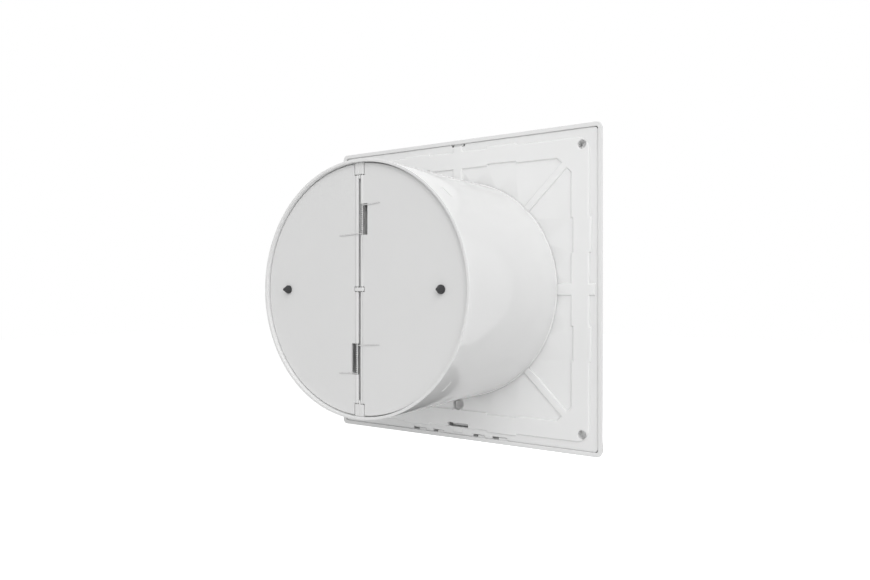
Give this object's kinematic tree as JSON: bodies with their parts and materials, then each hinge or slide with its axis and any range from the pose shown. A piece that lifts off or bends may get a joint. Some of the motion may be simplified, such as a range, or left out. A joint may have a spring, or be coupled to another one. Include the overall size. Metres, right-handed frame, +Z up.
{
  "type": "window exhaust fan",
  "caption": "Square wall or window extractor fan with a round duct spigot, a grille cover, an axial impeller on a shaded-pole motor and a pair of sprung back-draught flaps.",
  "frame": {"origin": "centre of the wall-screw pattern, on the face that rests on the wall", "axes": "+Y out through the duct spigot, +Z up as pictured, +X to the left seen from the duct end"},
  "size_m": [0.175, 0.128, 0.175],
  "materials": {
    "casing_plastic": "glossy white",
    "flap_plastic": "satin, light grey white",
    "bumper_rubber": "matt black",
    "spring_steel": "bright drawn wire",
    "impeller_plastic": "glossy white",
    "shaft_steel": "ground",
    "lamination_steel": "dull",
    "washer_plastic": "natural",
    "copper": "bare copper",
    "winding": "enamelled copper wire",
    "bobbin_plastic": "natural",
    "bracket_metal": "cast",
    "bearing_bronze": "sintered bronze",
    "screw_steel": "zinc plated",
    "lead_insulation": "satin red",
    "terminal_plastic": "natural",
    "terminal_brass": "plain"
  },
  "bodies": {
    "housing": {"base_plate": "casing_plastic", "fan_duct": "casing_plastic", "duct_screws": "screw_steel", "damper_ring": "casing_plastic", "stator_core": "lamination_steel", "shading_rings": "copper", "coil_bobbin": "bobbin_plastic", "coil_winding": "winding", "front_bearing_bracket": "bracket_metal", "rear_bearing_bracket": "bracket_metal", "front_bearing": "bearing_bronze", "rear_bearing": "bearing_bronze", "motor_screws": "screw_steel", "motor_leads": "lead_insulation", "terminal_block": "terminal_plastic", "terminal_screws": "terminal_brass", "terminal_cover": "casing_plastic", "terminal_cover_screw": "screw_steel", "cable_clamp": "casing_plastic", "cable_clamp_screws": "screw_steel"},
    "cover": {"front_cover": "casing_plastic", "inlet_grille": "casing_plastic"},
    "rotor": {"impeller": "impeller_plastic", "motor_shaft": "shaft_steel", "rotor_core": "lamination_steel", "thrust_washers": "washer_plastic", "impeller_clip": "spring_steel"},
    "left_damper": {"left_flap": "flap_plastic", "left_hinge_pin": "spring_steel", "left_bumper": "bumper_rubber", "lower_spring": "spring_steel"},
    "right_damper": {"right_flap": "flap_plastic", "right_hinge_pin": "spring_steel", "right_bumper": "bumper_rubber", "upper_spring": "spring_steel"}
  },
  "joints": [
    {"name": "fan_spin", "type": "hinge", "parent": "housing", "child": "rotor", "pos_m": [0, 0, 0], "axis": [0, 1, 0], "continuous": true},
    {"name": "left_flap_hinge", "type": "hinge", "parent": "housing", "child": "left_damper", "pos_m": [0.00155, 0.0894, 0], "axis": [0, 0, 1], "range_deg": [0, 85], "stiffness_Nm_per_rad": 0.002, "springref_deg": -17.19, "deforming": ["lower_spring"]},
    {"name": "right_flap_hinge", "type": "hinge", "parent": "housing", "child": "right_damper", "pos_m": [-0.00155, 0.0894, 0], "axis": [0, 0, -1], "range_deg": [0, 85], "stiffness_Nm_per_rad": 0.002, "springref_deg": -17.19, "deforming": ["upper_spring"]},
    {"name": "cover_pull", "type": "slide", "parent": "housing", "child": "cover", "axis": [0, -1, 0], "range_m": [0, 0.03]}
  ]
}
